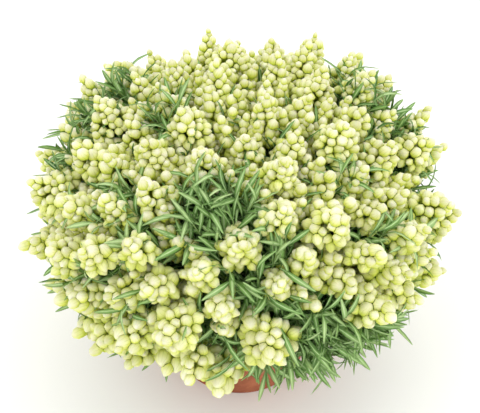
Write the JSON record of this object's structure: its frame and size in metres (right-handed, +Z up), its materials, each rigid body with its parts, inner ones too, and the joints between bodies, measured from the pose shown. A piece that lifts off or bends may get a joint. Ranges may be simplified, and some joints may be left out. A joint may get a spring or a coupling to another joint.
{
  "type": "potted silene ampullata",
  "caption": "Domed perennial with pale yellow-green heads of inflated calyces over narrow green leaves, in a plain clay pan.",
  "frame": {"origin": "centre of the clay pan's base, on the surface it stands on", "axes": "+Z up, -Y towards the side with the bare leafy patch, +X to the right of that side"},
  "size_m": [0.4251, 0.3984, 0.3546],
  "materials": {
    "clay": "matte",
    "soil": "matte",
    "leaf": "satin",
    "calyx": "satin"
  },
  "bodies": {
    "root": {"clay_pan": "clay", "soil": "soil", "leafy_branch_01": "leaf", "leafy_branch_02": "leaf", "leafy_branch_03": "leaf", "leafy_branch_04": "leaf", "leafy_branch_05": "leaf", "leafy_branch_06": "leaf", "leafy_branch_07": "leaf", "leafy_branch_08": "leaf", "leafy_branch_09": "leaf", "leafy_branch_10": "leaf", "leafy_branch_11": "leaf", "leafy_branch_12": "leaf", "flower_heads_01": "calyx", "flower_heads_02": "calyx", "flower_heads_03": "calyx", "flower_heads_04": "calyx", "flower_heads_05": "calyx", "flower_heads_06": "calyx", "flower_heads_07": "calyx", "flower_heads_08": "calyx", "flower_heads_09": "calyx", "flower_heads_10": "calyx", "flower_heads_11": "calyx", "flower_heads_12": "calyx", "flower_heads_13": "calyx", "flower_heads_14": "calyx", "flower_heads_15": "calyx", "flower_heads_16": "calyx", "flower_heads_17": "calyx", "flower_heads_18": "calyx", "flower_heads_19": "calyx", "flower_heads_20": "calyx", "flower_heads_21": "calyx", "flower_heads_22": "calyx", "flower_heads_23": "calyx", "flower_heads_24": "calyx", "flower_heads_25": "calyx", "flower_heads_26": "calyx", "flower_heads_27": "calyx", "flower_heads_28": "calyx", "flower_heads_29": "calyx", "flower_heads_30": "calyx", "flower_heads_31": "calyx", "flower_heads_32": "calyx", "flower_heads_33": "calyx", "flower_heads_34": "calyx", "flower_heads_35": "calyx", "flower_heads_36": "calyx", "flower_heads_37": "calyx", "flower_heads_38": "calyx", "flower_heads_39": "calyx", "flower_heads_40": "calyx", "flower_heads_41": "calyx", "flower_heads_42": "calyx", "flower_heads_43": "calyx", "flower_heads_44": "calyx"}
  },
  "joints": []
}
